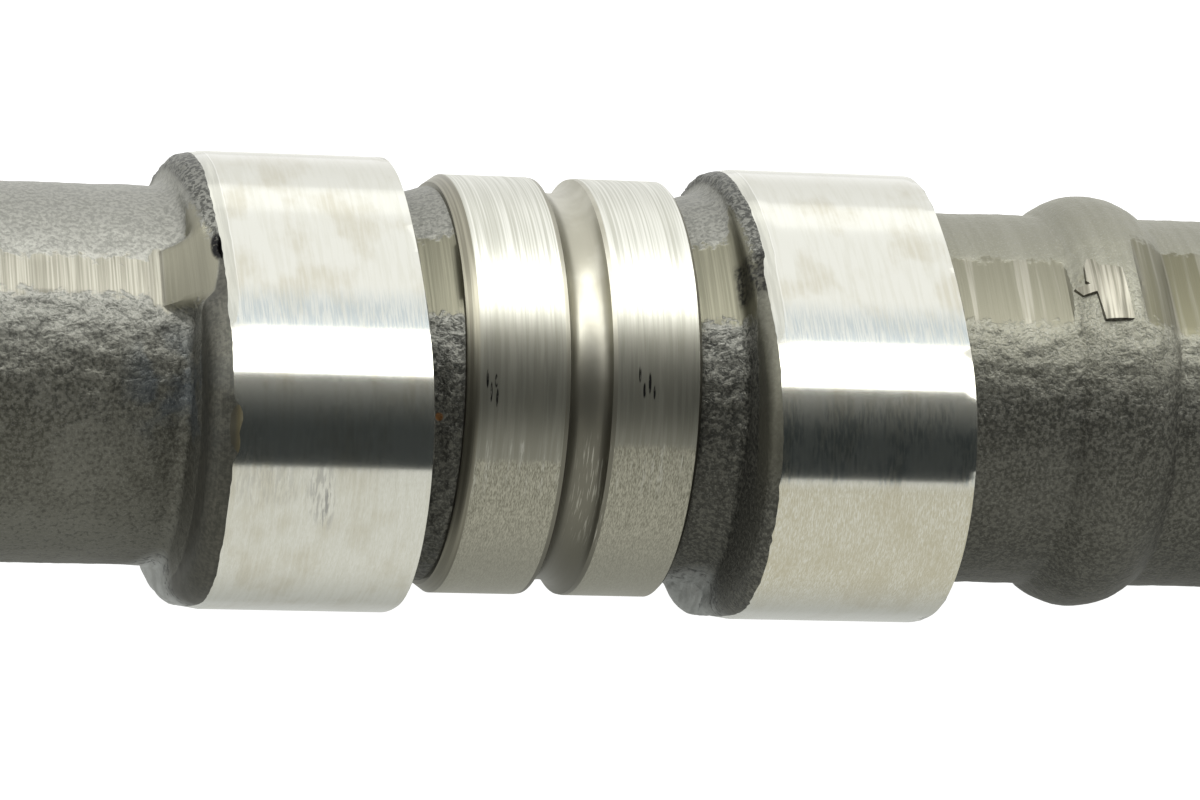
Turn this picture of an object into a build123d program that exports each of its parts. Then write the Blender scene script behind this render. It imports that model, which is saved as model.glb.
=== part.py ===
"""Chill-cast camshaft for one bank of a V8 with four valves per cylinder.

The shaft lies along X, with its sprocket end at low X and +Z up.
The origin is on the shaft axis, in the plane of the face that the sprocket seats on.
The shaft lies as it comes to rest, on the noses of the second and third pairs of lobes.
"""
from build123d import *
from math import acos, cos, pi, radians, sin
import os

# Layout along the axis, mm
CYLINDER_PITCH = 98.0
FIRST_CYLINDER_X = 66.0
LOBE_SPACING = 40.2
REAR_OVERHANG = 68.0

# Cast shaft
SHAFT_R = 13.9
NECK_R = 14.7
BEAD_OFFSET = 41.5
BEAD_HEIGHT = 1.65
BEAD_WIDTH = 8.2

# Ground cam lobes
BASE_R = 16.6
NOSE_R = 12.83
NOSE_CENTRE = 9.2
FLANK_R = 38.0
LOBE_WIDTH = 14.4
LOBE_EDGE_CHAMFER = 1.4
SHAFT_ROOT_BLEND = 1.0

# Direction of each pair's noses about +X, in degrees from +Y towards +Z
NOSE_ANGLES = (180.0, 225.0, 315.0, 90.0)

# Bearing journals
JOURNAL_R = 15.5
JOURNAL_WIDTH = 16.56
JOURNAL_FRONT_CHAMFER = 0.7
GROOVE_WIDTH = 3.24
GROOVE_DEPTH = 1.1
FRONT_JOURNAL_WIDTH = 20.0

# Mould seam, dressed to narrow flats on both sides of the casting
SEAM_FROM_NOSE = 58.0
SHAFT_FLAT_R = 13.65
NECK_FLAT_R = 14.25
FLAT_END_GAP = 1.5

# Sprocket end
PILOT_R = 12.0
PILOT_LENGTH = 18.0
PILOT_CHAMFER = 1.0
BOLT_HOLE_R = 4.25
BOLT_HOLE_DEPTH = 26.0
BOLT_HOLE_TIP_ANGLE = 118.0
BOLT_HOLE_CHAMFER = 0.8
DOWEL_HOLE_R = 2.0
DOWEL_HOLE_DEPTH = 8.0
DOWEL_CIRCLE_R = 8.0

# Rear end
REAR_STUB_R = 13.0
REAR_STUB_LENGTH = 16.0
REAR_CHAMFER = 1.2
CENTRE_HOLE_R = 3.0
CENTRE_HOLE_ANGLE = 60.0

CYLINDER_X = [FIRST_CYLINDER_X + i * CYLINDER_PITCH for i in range(len(NOSE_ANGLES))]
REAR_END_X = CYLINDER_X[-1] + REAR_OVERHANG
LOBE_SIDE = LOBE_WIDTH / 2 + LOBE_EDGE_CHAMFER
SEAM_ANGLE = NOSE_ANGLES[0] - SEAM_FROM_NOSE


def point(radius, angle):
    """Point at a radius and an angle in radians."""
    return Vector(radius * cos(angle), radius * sin(angle))


class TurnedOutline:
    """Half section of the round body, drawn as x and radius from front to rear."""

    def __init__(self, x):
        self.start = (x, 0.0)
        self.here = self.start
        self.edges = []

    def line(self, x, r):
        """Straight run to x and r."""
        self.edges.append(Line(self.here, (x, r)))
        self.here = (x, r)

    def arc(self, x, r, radius):
        """Round run to x and r: a positive radius bulges out, a negative one is hollow."""
        self.edges.append(RadiusArc(self.here, (x, r), radius))
        self.here = (x, r)

    def solid(self):
        """Round body with this section."""
        self.line(self.here[0], 0.0)
        self.line(*self.start)
        return revolve(make_face(self.edges), Axis.X, 360)


def draw_front_end(body):
    """Sprocket pilot, and the front journal that its sleeve bearing slides onto."""
    body.line(-PILOT_LENGTH, PILOT_R - PILOT_CHAMFER)
    body.line(-PILOT_LENGTH + PILOT_CHAMFER, PILOT_R)
    body.line(0.0, PILOT_R)
    body.line(0.0, JOURNAL_R - JOURNAL_FRONT_CHAMFER)
    body.line(JOURNAL_FRONT_CHAMFER, JOURNAL_R)
    body.line(FRONT_JOURNAL_WIDTH, JOURNAL_R)
    body.line(FRONT_JOURNAL_WIDTH, SHAFT_R)


def draw_journal(body, middle):
    """Two bearing lands with a round oil groove between them."""
    front_x = middle - JOURNAL_WIDTH / 2
    rear_x = middle + JOURNAL_WIDTH / 2
    bottom_r = (GROOVE_WIDTH ** 2 / 4 + GROOVE_DEPTH ** 2) / (2 * GROOVE_DEPTH)
    body.line(front_x, JOURNAL_R - JOURNAL_FRONT_CHAMFER)
    body.line(front_x + JOURNAL_FRONT_CHAMFER, JOURNAL_R)
    body.line(middle - GROOVE_WIDTH / 2, JOURNAL_R)
    body.arc(middle + GROOVE_WIDTH / 2, JOURNAL_R, -bottom_r)
    body.line(rear_x, JOURNAL_R)


def draw_cylinder_group(body, x):
    """Shaft and necks under one pair of lobes, blended up to their sides, with the journal between."""
    outer_side = LOBE_SPACING / 2 + LOBE_SIDE
    body.line(x - outer_side - SHAFT_ROOT_BLEND, SHAFT_R)
    body.line(x - outer_side, SHAFT_R + SHAFT_ROOT_BLEND)
    body.line(x - LOBE_SPACING / 2, SHAFT_R + SHAFT_ROOT_BLEND)
    body.line(x - LOBE_SPACING / 2, NECK_R)
    body.line(x - JOURNAL_WIDTH / 2, NECK_R)
    draw_journal(body, x)
    body.line(x + JOURNAL_WIDTH / 2, NECK_R)
    body.line(x + LOBE_SPACING / 2, NECK_R)
    body.line(x + LOBE_SPACING / 2, SHAFT_R + SHAFT_ROOT_BLEND)
    body.line(x + outer_side, SHAFT_R + SHAFT_ROOT_BLEND)
    body.line(x + outer_side + SHAFT_ROOT_BLEND, SHAFT_R)


def draw_bead(body, x):
    """Raised round bead behind the first pair of lobes."""
    bead_r = (BEAD_WIDTH ** 2 / 4 + BEAD_HEIGHT ** 2) / (2 * BEAD_HEIGHT)
    body.line(x - BEAD_WIDTH / 2, SHAFT_R)
    body.arc(x + BEAD_WIDTH / 2, SHAFT_R, bead_r)


def draw_rear_end(body):
    """Plain turned stub."""
    stub_x = REAR_END_X - REAR_STUB_LENGTH
    body.line(stub_x, SHAFT_R)
    body.line(stub_x, REAR_STUB_R)
    body.line(REAR_END_X - REAR_CHAMFER, REAR_STUB_R)
    body.line(REAR_END_X, REAR_STUB_R - REAR_CHAMFER)


def round_body():
    """Everything on the shaft that is round, in one revolved section."""
    body = TurnedOutline(-PILOT_LENGTH)
    draw_front_end(body)
    for index, x in enumerate(CYLINDER_X):
        draw_cylinder_group(body, x)
        if index == 0:
            draw_bead(body, x + BEAD_OFFSET)
    draw_rear_end(body)
    return body.solid()


def lobe_outline():
    """Cam section with its nose along +X: base circle, two flanks and the nose."""
    base_to_flank = FLANK_R - BASE_R
    nose_to_flank = FLANK_R - NOSE_R
    cosine = (base_to_flank ** 2 + NOSE_CENTRE ** 2 - nose_to_flank ** 2) / (2 * base_to_flank * NOSE_CENTRE)
    turn = acos(cosine)
    nose = Vector(NOSE_CENTRE, 0)
    flank = point(base_to_flank, turn)
    base_end = point(BASE_R, turn + pi)
    nose_start = nose + (nose - flank).normalized() * NOSE_R
    flank_mid = flank + ((base_end - flank) + (nose_start - flank)).normalized() * FLANK_R
    upper = [Vector(p.X, -p.Y) for p in (base_end, flank_mid, nose_start)]
    return make_face([
        ThreePointArc(base_end, flank_mid, nose_start),
        ThreePointArc(nose_start, nose + Vector(NOSE_R, 0), upper[2]),
        ThreePointArc(upper[2], upper[1], upper[0]),
        ThreePointArc(upper[0], Vector(-BASE_R, 0), base_end),
    ])


def lobe(x, nose_angle):
    """One cam lobe: a ground track between bevelled, as-cast sides."""
    track = extrude(Plane.YZ * lobe_outline(), LOBE_SIDE, both=True)
    sides = track.faces().filter_by(Axis.X)
    track = chamfer(sides.edges(), LOBE_EDGE_CHAMFER)
    return Pos(x, 0, 0) * Rot(nose_angle, 0, 0) * track


def lobes():
    """Two lobes for each cylinder, one each side of its journal."""
    made = []
    for x, nose_angle in zip(CYLINDER_X, NOSE_ANGLES):
        for side in (-1, 1):
            made.append(lobe(x + side * LOBE_SPACING / 2, nose_angle))
    return made


def seam_flat(start_x, end_x, flat_r):
    """Material that dressing the mould seam takes off between two places on the shaft."""
    depth = JOURNAL_R
    cuts = []
    for angle in (SEAM_ANGLE, SEAM_ANGLE + 180):
        block = Box(end_x - start_x, depth, 2 * depth)
        block = Pos((start_x + end_x) / 2, flat_r + depth / 2, 0) * block
        cuts.append(Rot(angle, 0, 0) * block)
    return cuts


def seam_flats():
    """Dressed flats on every bare stretch of cast shaft and neck."""
    lobe_reach = LOBE_SPACING / 2 + LOBE_SIDE + SHAFT_ROOT_BLEND + FLAT_END_GAP
    bead_reach = BEAD_WIDTH / 2 + FLAT_END_GAP
    neck_start = JOURNAL_WIDTH / 2
    neck_end = LOBE_SPACING / 2 - LOBE_SIDE
    stops = [(FRONT_JOURNAL_WIDTH - FLAT_END_GAP, FRONT_JOURNAL_WIDTH)]
    cuts = []
    for index, x in enumerate(CYLINDER_X):
        stops.append((x - lobe_reach, x + lobe_reach))
        if index == 0:
            bead_x = x + BEAD_OFFSET
            stops.append((bead_x - bead_reach, bead_x + bead_reach))
        cuts += seam_flat(x - neck_end, x - neck_start, NECK_FLAT_R)
        cuts += seam_flat(x + neck_start, x + neck_end, NECK_FLAT_R)
    stops.append((REAR_END_X - REAR_STUB_LENGTH, REAR_END_X))
    for before, after in zip(stops, stops[1:]):
        cuts += seam_flat(before[1], after[0], SHAFT_FLAT_R)
    return cuts


def bolt_hole():
    """Threaded hole for the sprocket bolt, at its wall radius, with a drilled tip."""
    tip = BOLT_HOLE_R / sin(radians(BOLT_HOLE_TIP_ANGLE / 2)) * cos(radians(BOLT_HOLE_TIP_ANGLE / 2))
    mouth_x = -PILOT_LENGTH
    section = Polyline(
        (mouth_x, 0),
        (mouth_x, BOLT_HOLE_R + BOLT_HOLE_CHAMFER),
        (mouth_x + BOLT_HOLE_CHAMFER, BOLT_HOLE_R),
        (mouth_x + BOLT_HOLE_DEPTH, BOLT_HOLE_R),
        (mouth_x + BOLT_HOLE_DEPTH + tip, 0),
        close=True,
    )
    return revolve(make_face(section), Axis.X, 360)


def dowel_hole():
    """Hole in the pilot's front face for the sprocket's dowel, in line with the first noses."""
    dowel = Rot(0, 90, 0) * Cylinder(DOWEL_HOLE_R, 2 * DOWEL_HOLE_DEPTH)
    return Rot(NOSE_ANGLES[0], 0, 0) * Pos(-PILOT_LENGTH, DOWEL_CIRCLE_R, 0) * dowel


def centre_hole():
    """Cone for the lathe centre in the rear face."""
    depth = CENTRE_HOLE_R * cos(radians(CENTRE_HOLE_ANGLE / 2)) / sin(radians(CENTRE_HOLE_ANGLE / 2))
    section = Polyline(
        (REAR_END_X, 0),
        (REAR_END_X, CENTRE_HOLE_R),
        (REAR_END_X - depth, 0),
        close=True,
    )
    return revolve(make_face(section), Axis.X, 360)


def camshaft():
    """The finished shaft, one piece of cast iron."""
    body = round_body() - seam_flats()
    body = body + lobes()
    return body - [bolt_hole(), dowel_hole(), centre_hole()]


os.makedirs("parts", exist_ok=True)
shaft = camshaft()
export_step(shaft, "parts/camshaft.step")
print("centre of mass x", round(shaft.center(CenterOf.MASS).X, 2))
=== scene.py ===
"""Looks of a chill-cast camshaft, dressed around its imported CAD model.

Everything is in metres, in the row frame: the shaft lies along X, with its sprocket end at low X. Only places
called u are in mm, from the middle of the first pair of lobes, and angles called alpha in degrees above level on
the viewer's side.
"""
from contextlib import contextmanager
from math import atan2, cos, pi, radians, sin, sqrt, tau
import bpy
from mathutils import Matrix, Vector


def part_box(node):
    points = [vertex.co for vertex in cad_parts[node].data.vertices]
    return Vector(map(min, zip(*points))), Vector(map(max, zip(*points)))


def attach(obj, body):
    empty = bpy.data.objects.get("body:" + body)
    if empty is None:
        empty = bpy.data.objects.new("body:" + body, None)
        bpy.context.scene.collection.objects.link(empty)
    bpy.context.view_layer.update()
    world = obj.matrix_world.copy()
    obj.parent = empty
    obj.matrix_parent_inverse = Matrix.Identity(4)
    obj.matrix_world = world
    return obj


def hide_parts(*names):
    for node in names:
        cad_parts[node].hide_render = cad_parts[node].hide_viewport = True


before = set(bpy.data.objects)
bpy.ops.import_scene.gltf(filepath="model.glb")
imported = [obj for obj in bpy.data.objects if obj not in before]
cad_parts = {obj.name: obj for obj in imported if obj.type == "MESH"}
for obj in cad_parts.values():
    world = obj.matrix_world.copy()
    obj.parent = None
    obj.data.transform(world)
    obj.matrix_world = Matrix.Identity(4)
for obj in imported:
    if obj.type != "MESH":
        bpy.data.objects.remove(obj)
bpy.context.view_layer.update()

from types import SimpleNamespace

import bpy
import numpy as np
from mathutils import Matrix, Vector, noise

MM = 0.001

# Layout along the axis
PAIR_PITCH = 98 * MM
FIRST_PAIR_X = 66 * MM
LOBE_SPACING = 40.2 * MM
PAIR_X = [FIRST_PAIR_X + i * PAIR_PITCH for i in range(4)]
NOSE_ANGLES = [radians(a) for a in (180, 225, 315, 90)]
FRONT_END_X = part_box("camshaft")[0].x
REAR_END_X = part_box("camshaft")[1].x
FLOOR_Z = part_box("camshaft")[0].z

# Cast shaft
SHAFT_R = 13.9 * MM
NECK_R = 14.6 * MM
NECK_LOW_R = 13.9 * MM
BEAD_OFFSET = 41.5 * MM
BEAD_HEIGHT = 1.65 * MM
BEAD_WIDTH = 7.8 * MM
BEAD_BLEND_R = 0.7 * MM

# Ground lobes
BASE_R = 16.6 * MM
NOSE_R = 12.83 * MM
NOSE_CENTRE = 9.2 * MM
FLANK_R = 38 * MM
LOBE_WIDTH = 14.4 * MM
TRACK_START = 0.05 * MM
EDGE_BEVEL_WIDTH = 0.95 * MM
EDGE_BEVEL_DROP = 0.16 * MM

# Cast sides of the lobes: radius at the foot, radii of the root and the edge, slope where the track cuts the edge
SIDE_SLOPE = radians(78)
FRONT_OUTER_SIDE = (SHAFT_R, 1 * MM, 1.9 * MM, radians(8))
FRONT_INNER_SIDE = (NECK_R, 1.2 * MM, 1.2 * MM, radians(8))
REAR_OUTER_SIDE = (SHAFT_R, 0.9 * MM, 0.6 * MM, radians(55))
REAR_INNER_SIDE = (NECK_LOW_R, 0.7 * MM, 0.6 * MM, radians(55))

# Journals
JOURNAL_R = 15.5 * MM
JOURNAL_WIDTH = 16.56 * MM
GROOVE_WIDTH = 3.24 * MM
GROOVE_DEPTH = 1.15 * MM
GROOVE_LIP = 0.3 * MM
GROOVE_ARC_SHARE = 0.97
FRONT_CHAMFER = 0.9 * MM
FRONT_CHAMFER_DROP = 0.6 * MM
REAR_CHAMFER = 0.25 * MM
FRONT_STEP_RUN = 0.05 * MM
REAR_STEP_RUN = 0.02 * MM
FRONT_JOURNAL_WIDTH = 20 * MM

# Ends
PILOT_R = 12 * MM
PILOT_CHAMFER = 1 * MM
BOLT_HOLE_R = 4.25 * MM
BOLT_HOLE_DEPTH = 26 * MM
BOLT_HOLE_TIP = 2.5 * MM
BOLT_HOLE_CHAMFER = 0.8 * MM
THREAD_PITCH = 1.25 * MM
THREAD_DEPTH = 0.45 * MM
DOWEL_HOLE_R = 2 * MM
DOWEL_HOLE_DEPTH = 8 * MM
DOWEL_CIRCLE_R = 8 * MM
REAR_STUB_R = 13 * MM
REAR_STUB_LENGTH = 16 * MM
REAR_END_CHAMFER = 1.2 * MM
CENTRE_HOLE_R = 3 * MM
CENTRE_HOLE_DEPTH = 5.2 * MM

# Mesh density. Pairs hold the plain value and the fine one.
FINE_FROM = FIRST_PAIR_X - 43 * MM
FINE_TO = FIRST_PAIR_X + 54 * MM
PLAIN_TURNS, FINE_TURNS = 96, 288
STEP = (2.2 * MM, 0.32 * MM)
LAND_STEP = (3 * MM, 1.2 * MM)
CHAMFER_STEP = 0.4 * MM
END_STEP, FACE_STEP = 3 * MM, 4 * MM
TRACK_RINGS = (3, 16)
GROOVE_RINGS = (6, 14)
SIDE_RINGS = ((3, 2, 4), (5, 3, 9))
BLEND_RINGS, CREST_RINGS = 4, 22
MERGE_DISTANCE = 0.002 * MM
SMOOTH_ANGLE = radians(40)

# Material zones
CAST, TRACK, LAND, TURNED = range(4)


# Section of the skin, as rings from front to rear

def in_fine_part(x):
    """Whether a place is around the first pair of lobes."""
    return FINE_FROM <= x <= FINE_TO


class Section:
    """Rings that the skin is spun from.

    Each holds its place, radius on the base circle, share of the cam lift, pair, zone, side of a lobe (1 front,
    -1 rear, 0 elsewhere) and the radius at the foot of that side.
    """

    def __init__(self):
        self.rings = []

    def add(self, x, base, zone, lift=0, pair=0, side=0, foot=0):
        self.rings.append((x, base, lift, pair, zone, side, foot))

    def run(self, end_x, end_r, zone, step=None, lift=0, pair=0):
        """Evenly spaced rings from the last one to a place and radius."""
        x, base, last_lift = self.rings[-1][:3]
        step = step or STEP[in_fine_part(x)]
        count = max(1, round(max(abs(end_x - x), abs(end_r - base)) / step))
        for i in range(1, count + 1):
            share = i / count
            self.add(x + (end_x - x) * share, base + (end_r - base) * share, zone,
                     last_lift + (lift - last_lift) * share, pair)


def shoulder_steps(foot_r, root_r, edge_r, edge_slope, fine):
    """Points of a cast lobe side from its foot to the ground track: distance short of the track, radius, lift."""
    root_count, side_count, edge_count = SIDE_RINGS[fine]
    edge_drop = edge_r * (cos(edge_slope) - cos(SIDE_SLOPE))
    edge_run = edge_r * (sin(SIDE_SLOPE) - sin(edge_slope))
    root_rise = root_r * (1 - cos(SIDE_SLOPE))
    root_run = root_r * sin(SIDE_SLOPE)
    side_rise = BASE_R - foot_r - root_rise - edge_drop
    side_run = side_rise / sin(SIDE_SLOPE) * cos(SIDE_SLOPE)
    total = root_run + side_run + edge_run
    steps = []
    for i in range(root_count):
        turn = SIDE_SLOPE * i / root_count
        steps.append((total - root_r * sin(turn), foot_r + root_r * (1 - cos(turn)), 0))
    for i in range(side_count):
        share = i / side_count
        steps.append((edge_run + side_run * (1 - share), foot_r + root_rise + side_rise * share, share))
    for i in range(edge_count + 1):
        turn = SIDE_SLOPE + (edge_slope - SIDE_SLOPE) * i / edge_count
        steps.append((edge_r * (sin(turn) - sin(edge_slope)),
                      BASE_R - edge_r * (cos(edge_slope) - cos(turn)), 1))
    return steps


def add_lobe(section, x, pair, front, rear):
    """Cast front side, ground track and cast rear side of one lobe."""
    fine = in_fine_part(x)
    half = LOBE_WIDTH / 2
    steps = shoulder_steps(*front, fine)
    section.run(x - half - steps[0][0], front[0], CAST)
    for short, base, lift in steps[1:]:
        section.add(x - half - short, base, CAST, lift, pair, 1, front[0])
    section.add(x - half + TRACK_START, BASE_R, TRACK, 1, pair, 1, front[0])
    section.add(x - half + EDGE_BEVEL_WIDTH, BASE_R, TRACK, 1, pair)
    section.run(x + half, BASE_R, TRACK, LOBE_WIDTH / TRACK_RINGS[fine], 1, pair)
    rear_steps = shoulder_steps(*rear, fine)
    for short, base, lift in reversed(rear_steps[:-1]):
        section.add(x + half + short, base, CAST, lift, pair, -1, rear[0])


def add_journal(section, x):
    """Turned front chamfer, two ground lands and the oil groove between them."""
    front_x = x - JOURNAL_WIDTH / 2 - FRONT_CHAMFER
    rear_x = x + JOURNAL_WIDTH / 2
    fine = in_fine_part(x)
    section.run(front_x, NECK_R, CAST)
    section.run(front_x + FRONT_STEP_RUN, JOURNAL_R - FRONT_CHAMFER_DROP, TURNED)
    section.run(front_x + FRONT_CHAMFER, JOURNAL_R, TURNED, CHAMFER_STEP)
    groove_r = (GROOVE_WIDTH ** 2 / 4 + GROOVE_DEPTH ** 2) / (2 * GROOVE_DEPTH)
    sweep = atan2(GROOVE_WIDTH / 2, groove_r - GROOVE_DEPTH)
    section.run(x - GROOVE_WIDTH / 2 - GROOVE_LIP, JOURNAL_R, LAND, LAND_STEP[fine])
    count = GROOVE_RINGS[fine]
    for i in range(count + 1):
        turn = sweep * GROOVE_ARC_SHARE * (2 * i / count - 1)
        section.add(x + groove_r * sin(turn), JOURNAL_R - GROOVE_DEPTH + groove_r * (1 - cos(turn)), TURNED)
    section.add(x + GROOVE_WIDTH / 2 + GROOVE_LIP, JOURNAL_R, TURNED)
    section.run(rear_x - REAR_CHAMFER, JOURNAL_R, LAND, LAND_STEP[fine])
    section.run(rear_x, JOURNAL_R - REAR_CHAMFER, TURNED)
    section.run(rear_x + REAR_STEP_RUN, NECK_LOW_R, TURNED)


def add_bead(section, x):
    """Round bead with blended feet."""
    half = BEAD_WIDTH / 2
    bead_r = (half ** 2 + BEAD_HEIGHT ** 2) / (2 * BEAD_HEIGHT)
    centre_r = SHAFT_R + BEAD_HEIGHT - bead_r
    blend_r = SHAFT_R + BEAD_BLEND_R
    reach = sqrt((bead_r + BEAD_BLEND_R) ** 2 - (blend_r - centre_r) ** 2)
    touch = atan2(reach, blend_r - centre_r)
    section.run(x - reach, SHAFT_R, CAST)
    for i in range(1, BLEND_RINGS):
        turn = touch * i / BLEND_RINGS
        section.add(x - reach + BEAD_BLEND_R * sin(turn), blend_r - BEAD_BLEND_R * cos(turn), CAST)
    for i in range(CREST_RINGS + 1):
        turn = touch * (2 * i / CREST_RINGS - 1)
        section.add(x + bead_r * sin(turn), centre_r + bead_r * cos(turn), CAST)
    for i in reversed(range(BLEND_RINGS)):
        turn = touch * i / BLEND_RINGS
        section.add(x + reach - BEAD_BLEND_R * sin(turn), blend_r - BEAD_BLEND_R * cos(turn), CAST)


def add_front_end(section):
    """Threaded bolt hole, pilot, sprocket seat and front journal."""
    mouth = FRONT_END_X
    bottom = mouth + BOLT_HOLE_DEPTH
    section.add(bottom + BOLT_HOLE_TIP, 0, TURNED)
    section.add(bottom, BOLT_HOLE_R, TURNED)
    turns = int((BOLT_HOLE_DEPTH - BOLT_HOLE_CHAMFER) / THREAD_PITCH)
    for i in range(turns):
        x = bottom - (i + 0.5) * THREAD_PITCH
        section.add(x, BOLT_HOLE_R + THREAD_DEPTH, TURNED)
        section.add(x - THREAD_PITCH / 2, BOLT_HOLE_R, TURNED)
    section.add(mouth + BOLT_HOLE_CHAMFER, BOLT_HOLE_R, TURNED)
    section.add(mouth, BOLT_HOLE_R + BOLT_HOLE_CHAMFER, TURNED)
    section.run(mouth, PILOT_R - PILOT_CHAMFER, TURNED)
    section.add(mouth + PILOT_CHAMFER, PILOT_R, TURNED)
    section.run(0, PILOT_R, LAND, END_STEP)
    section.run(0, JOURNAL_R - FRONT_CHAMFER_DROP, TURNED)
    section.add(FRONT_CHAMFER, JOURNAL_R, TURNED)
    section.run(FRONT_JOURNAL_WIDTH - REAR_CHAMFER, JOURNAL_R, LAND, FACE_STEP)
    section.add(FRONT_JOURNAL_WIDTH, JOURNAL_R - REAR_CHAMFER, TURNED)
    section.add(FRONT_JOURNAL_WIDTH, SHAFT_R, TURNED)


def add_rear_end(section):
    """Turned stub with a lathe centre in its face."""
    section.run(REAR_END_X - REAR_STUB_LENGTH, SHAFT_R, CAST)
    section.add(REAR_END_X - REAR_STUB_LENGTH, REAR_STUB_R, TURNED)
    section.run(REAR_END_X - REAR_END_CHAMFER, REAR_STUB_R, TURNED, END_STEP)
    section.add(REAR_END_X, REAR_STUB_R - REAR_END_CHAMFER, TURNED)
    section.run(REAR_END_X, CENTRE_HOLE_R, TURNED, FACE_STEP)
    section.add(REAR_END_X - CENTRE_HOLE_DEPTH, 0, TURNED)


def whole_section():
    """All rings, in three lists: plain front, fine part around the first pair of lobes, plain rear."""
    section = Section()
    add_front_end(section)
    breaks = []
    for pair, x in enumerate(PAIR_X):
        if pair == 0:
            section.run(FINE_FROM, SHAFT_R, CAST)
            breaks.append(len(section.rings))
        add_lobe(section, x - LOBE_SPACING / 2, pair, FRONT_OUTER_SIDE, REAR_INNER_SIDE)
        add_journal(section, x)
        add_lobe(section, x + LOBE_SPACING / 2, pair, FRONT_INNER_SIDE, REAR_OUTER_SIDE)
        if pair == 0:
            add_bead(section, x + BEAD_OFFSET)
            section.run(FINE_TO, SHAFT_R, CAST)
            breaks.append(len(section.rings))
    add_rear_end(section)
    rings = section.rings
    return rings[:breaks[0]], rings[breaks[0] - 1:breaks[1]], rings[breaks[1] - 1:]


# Mesh tools

def only(obj):
    """Deselects everything else and makes this object active."""
    bpy.ops.object.select_all(action="DESELECT")
    obj.select_set(True)
    bpy.context.view_layer.objects.active = obj


@contextmanager
def mesh_edit():
    """Edit mode with the whole mesh selected, and back."""
    bpy.ops.object.mode_set(mode="EDIT")
    bpy.ops.mesh.select_all(action="SELECT")
    yield
    bpy.ops.object.mode_set(mode="OBJECT")


def drawn_section(name, points):
    """Open chain of edges: one vertex of a primitive, extruded from point to point."""
    bpy.ops.object.select_all(action="DESELECT")
    bpy.ops.mesh.primitive_circle_add(vertices=3, radius=1 * MM, location=(0, 0, 0))
    obj = bpy.context.object
    obj.name = obj.data.name = name
    with mesh_edit():
        bpy.ops.mesh.merge(type="CENTER")
        bpy.ops.transform.translate(value=points[0])
        for last, point in zip(points, points[1:]):
            bpy.ops.mesh.extrude_vertices_move(TRANSFORM_OT_translate={"value": Vector(point) - Vector(last)})
    return obj


def spun_band(name, rings, first_ring, turns):
    """Skin from a list of rings: the section spun about the shaft axis."""
    obj = drawn_section(name, [(ring[0], ring[1], 0) for ring in rings])
    tag = obj.data.attributes.new("ring", "INT", "POINT")
    tag.data.foreach_set("value", np.arange(first_ring, first_ring + len(rings), dtype=np.int32))
    only(obj)
    with mesh_edit():
        bpy.ops.mesh.spin(steps=turns, angle=tau, center=(0, 0, 0), axis=(1, 0, 0))
        bpy.ops.mesh.select_all(action="SELECT")
        bpy.ops.mesh.remove_doubles(threshold=MERGE_DISTANCE)
    return obj


def joined_skin():
    """The three bands joined into one closed skin, with each vertex tagged with its ring."""
    front, middle, rear = whole_section()
    bands = [
        spun_band("camshaft_skin", front, 0, PLAIN_TURNS),
        spun_band("middle", middle, len(front) - 1, FINE_TURNS),
        spun_band("rear", rear, len(front) + len(middle) - 2, PLAIN_TURNS),
    ]
    bpy.ops.object.select_all(action="DESELECT")
    for band in bands:
        band.select_set(True)
    bpy.context.view_layer.objects.active = bands[0]
    bpy.ops.object.join()
    skin = bands[0]
    with mesh_edit():
        bpy.ops.mesh.remove_doubles(threshold=MERGE_DISTANCE)
        bpy.ops.mesh.normals_make_consistent(inside=False)
    return skin, front + middle[1:] + rear[1:]


def lobe_radius(turn):
    """Reach of the cam outline from the axis, at turns away from its nose."""
    turn = np.abs((turn + pi) % tau - pi)
    side_x = (NOSE_CENTRE ** 2 - (FLANK_R - NOSE_R) ** 2 + (FLANK_R - BASE_R) ** 2) / (2 * NOSE_CENTRE)
    side_y = sqrt((FLANK_R - BASE_R) ** 2 - side_x ** 2)
    base_turn = atan2(side_y, -side_x)
    nose_turn = atan2(side_y / (FLANK_R - NOSE_R) * NOSE_R,
                      NOSE_CENTRE + (NOSE_CENTRE - side_x) / (FLANK_R - NOSE_R) * NOSE_R)
    short = np.maximum(NOSE_R ** 2 - (NOSE_CENTRE * np.sin(turn)) ** 2, 0)
    nose = NOSE_CENTRE * np.cos(turn) + np.sqrt(short)
    along = side_x * np.cos(turn) - side_y * np.sin(turn)
    flank = along + np.sqrt(FLANK_R ** 2 - (FLANK_R - BASE_R) ** 2 + along ** 2)
    return np.where(turn < nose_turn, nose, np.where(turn < base_turn, flank, BASE_R))


def smooth(edge_from, edge_to, value):
    """0 before the first edge, 1 after the second, with a soft step between."""
    share = np.clip((value - edge_from) / (edge_to - edge_from), 0, 1)
    return share * share * (3 - 2 * share)


def bump_at(u, angle, mid_u, mid_angle, half_u, half_angle):
    """Soft bump on the skin, from 1 at its middle to 0 at its rim; places in mm and degrees."""
    far = ((u - mid_u) / half_u) ** 2 + ((angle - mid_angle) / half_angle) ** 2
    return np.clip(1 - far, 0, 1) ** 1.5


def fractal(points, scale, octaves, shift=0):
    """Fractal noise over points, for lumps of about the scale's size."""
    move = Vector((shift, 2.3 * shift, -1.7 * shift))
    return np.array([noise.fractal(Vector(p) / scale + move, 0.6, 2.1, octaves) for p in points])


# Dressed seam of the first pair: from place, to place, middle angle of the strip and half its width
SEAM_STRIPS = [(-60, -31.2, 53.7, 6.2), (-31.2, -20, 53, 10), (-20, 20, 57, 14),
               (20, 37.6, 58.8, 12.2), (37.6, 42.2, 61.6, -20), (42.2, 60, 61, 15.5)]
PLAIN_STRIP = (57, 11)
STRIP_END = 60.5
STRIP_BLEND = 0.25


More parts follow.
